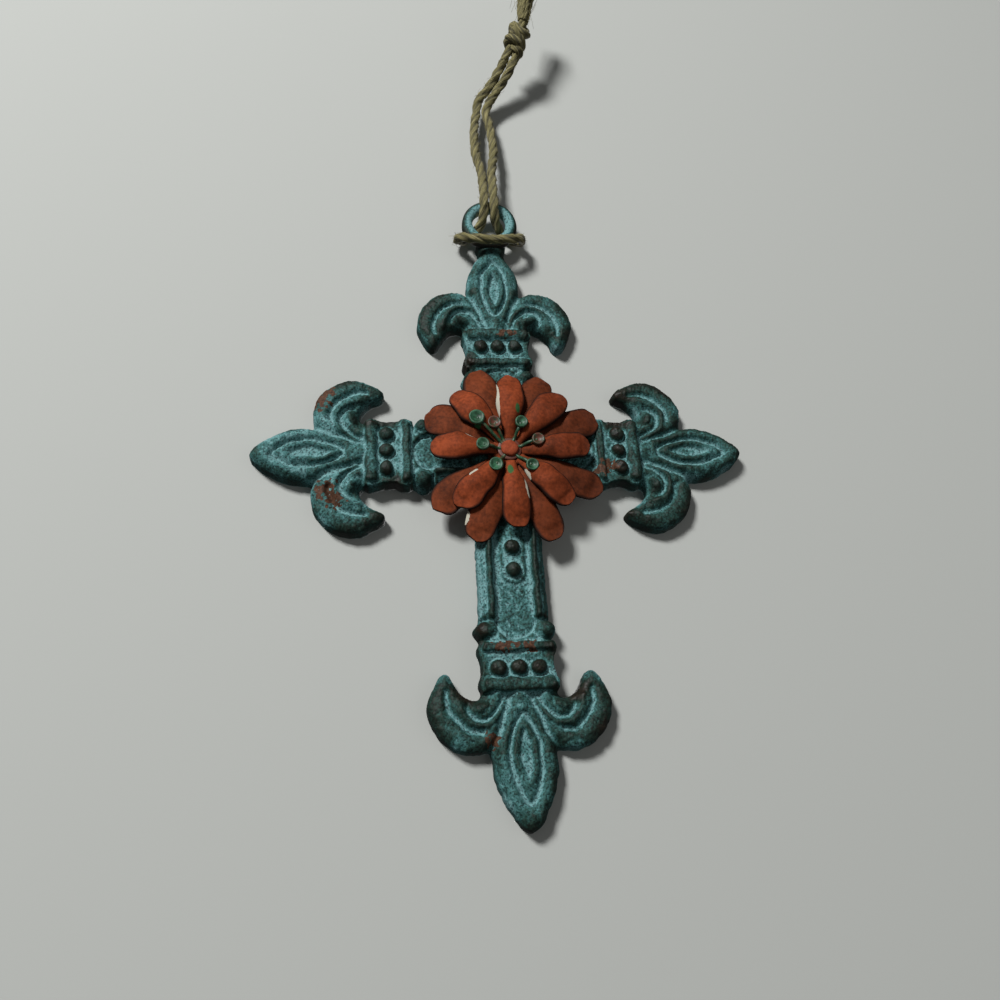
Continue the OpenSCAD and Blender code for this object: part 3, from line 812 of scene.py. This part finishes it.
washer = disc(4, 10.8, 11.5)
parts, worn = [washer], [np.ones(len(washer[0]))]
for turn, reach, radius, lift_by in STALKS:
    a = math.radians(turn)
    out = np.array((np.sin(a), np.cos(a), 0))
    bends = np.array([out * 2.6, out * 4.2, out * (reach * 0.72), out * reach]) + FLOWER_AT
    bends[:, 2] = 11.3, 11.5, 11.8 + lift_by * 0.7, 11.4 + lift_by
    way, _ = smooth_way(bends, 0.25)
    thicker = 1 + 0.25 * step(0.8, 1, np.linspace(0, 1, len(way)))
    stalk = tube(way, np.full((len(way), 10), STALK_R) * thicker[:, None], 10)
    v, f = cup(radius)
    tip = v[:, 2:3] * 0.16 * out[None, :]
    parts += [stalk, (v + tip + out * reach + FLOWER_AT + (0, 0, 11 + lift_by), f)]
    worn += [np.full(len(stalk[0]), 0.42), np.full(len(v), 0.55 if turn in RUBBED_CUPS else 0.0)]
verts, faces = joined(parts)

# leaf-green enamel on wire: thick in the cups, and thin on stalks and washer, where red shows through
green, tree, shader = finish("leaf_green_enamel")
place = node(tree, "ShaderNodeTexCoord").outputs["Object"]
grit = node(tree, "ShaderNodeTexNoise", Vector=place, Scale=700.0, Detail=4.0, Roughness=0.6).outputs[0]
tone = ramp(tree, grit, (0.34, "#0e2a17"), (0.5, "#1a432a"), (0.66, "#2f6144"))
rubbed = node(tree, "ShaderNodeAttribute", {"attribute_name": "worn"}).outputs["Fac"]
rubbed = ramp(tree, sums(tree, (1.0, rubbed), (1.0, grit), -0.5), (0.45, 0.0), (0.6, 1.0))
tree.links.new(blended(tree, rubbed, tone, "#54281a"), shader.inputs["Base Color"])
shader.inputs["Roughness"].default_value = 0.5
lift = node(tree, "ShaderNodeBump", Strength=0.4, Distance=0.0001, Height=grit)
tree.links.new(lift.outputs[0], shader.inputs["Normal"])
piece("wire_stamens", hung(verts), faces, "stamens", "stamens", green, worn=np.concatenate(worn))

# RIVET
# A small soft-iron rivet, painted with the flower; its low head was struck flat in the middle.
# Its shank goes through washer, petals and boss, and holds them together.
def rivet_shape(around=56):
    """Shank and head turned about one axis, the head a low dome with a flattened top."""
    r = np.array([0.02, 1.3, 1.5, 1.5, 1.5, 2.6, 2.8, 2.85, 2.7, 2.3, 1.7, 0.9, 0.02])
    z = np.array([0.4, 0.4, 0.7, 6, 11.4, 11.4, 11.55, 11.9, 12.3, 12.6, 12.75, 12.8, 12.8])
    a = np.linspace(0, 2 * np.pi, around, endpoint=False)[None, :]
    struck = 1 + 0.025 * np.cos(2 * a + 0.7) + 0.02 * np.cos(5 * a)
    rings = np.stack([r[:, None] * np.cos(a) * struck, r[:, None] * np.sin(a) * struck,
                      z[:, None] + 0.05 * np.cos(3 * a) * (r[:, None] > 2)], -1)
    verts, faces = skin(rings)
    return verts + FLOWER_AT, faces


verts, faces = rivet_shape()
head = brick_red("red_enamel_rivet", "#94452a", "#7c3720", "#572615")
flat_value = np.zeros(len(verts))
piece("flower_rivet", hung(verts), faces, "centre_rivet", "rivet", head,
      own=np.stack([verts[:, 0], verts[:, 1], flat_value], -1), chip=flat_value, green=flat_value)

# WALL AND LIGHT
# A plain off-white wall stands just behind the casting. It is there only for a camera in front of
# it, so light from behind still reaches the flat back.
WALL_Y, WALL_HALF = 0.0052, 2
wall_mesh = bpy.data.meshes.new("wall")
corners = [(sx * WALL_HALF, WALL_Y, sz * WALL_HALF) for sx, sz in ((-1, -1), (1, -1), (1, 1), (-1, 1))]
wall_mesh.from_pydata(corners, [], [(0, 1, 2, 3)])
wall = bpy.data.objects.new("wall", wall_mesh)
bpy.context.collection.objects.link(wall)
plaster, tree, shader = finish("plain_wall")
shader.inputs["Base Color"].default_value = linear("#a9aba7")
shader.inputs["Roughness"].default_value = 0.9
behind = node(tree, "ShaderNodeNewGeometry").outputs["Backfacing"]
seen = node(tree, "ShaderNodeLightPath").outputs["Is Camera Ray"]
front = node(tree, "ShaderNodeMath", {"operation": "SUBTRACT", "use_clamp": True}, i0=seen, i1=behind)
clear = node(tree, "ShaderNodeBsdfTransparent")
mixed = node(tree, "ShaderNodeMixShader", i0=front.outputs[0], i1=clear.outputs[0], i2=shader.outputs[0])
tree.links.new(mixed.outputs[0], tree.nodes["Material Output"].inputs[0])
wall_mesh.materials.append(plaster)


def lamp(name, place, aim, power, size):
    """A square soft lamp at place, facing aim."""
    light = bpy.data.lights.new(name, "AREA")
    light.energy, light.size = power, size
    made = bpy.data.objects.new(name, light)
    bpy.context.collection.objects.link(made)
    made.location = place
    toward = np.array(aim) - np.array(place)
    made.rotation_euler = Vector(toward).to_track_quat("-Z", "Y").to_euler()


lamp("key", (-0.75, -1.25, 0.65), (0, 0, -0.15), 37.0, 0.35)
lamp("fill", (0.7, -0.8, -0.4), (0, 0, -0.15), 1.0, 0.8)
lamp("behind", (0.25, 1.5, 0.1), (0, 0, -0.15), 6.0, 0.5)
# the world is dim light for the pieces and full pale grey for the camera
world = bpy.data.worlds.new("studio")
world.use_nodes = True
tree = world.node_tree
seen = node(tree, "ShaderNodeLightPath").outputs["Is Camera Ray"]
level = node(tree, "ShaderNodeMath", {"operation": "MULTIPLY_ADD"}, i0=seen, i1=0.84, i2=0.16)
tree.nodes["Background"].inputs[0].default_value = linear("#d4d6d6")
tree.links.new(level.outputs[0], tree.nodes["Background"].inputs[1])
bpy.context.scene.world = world
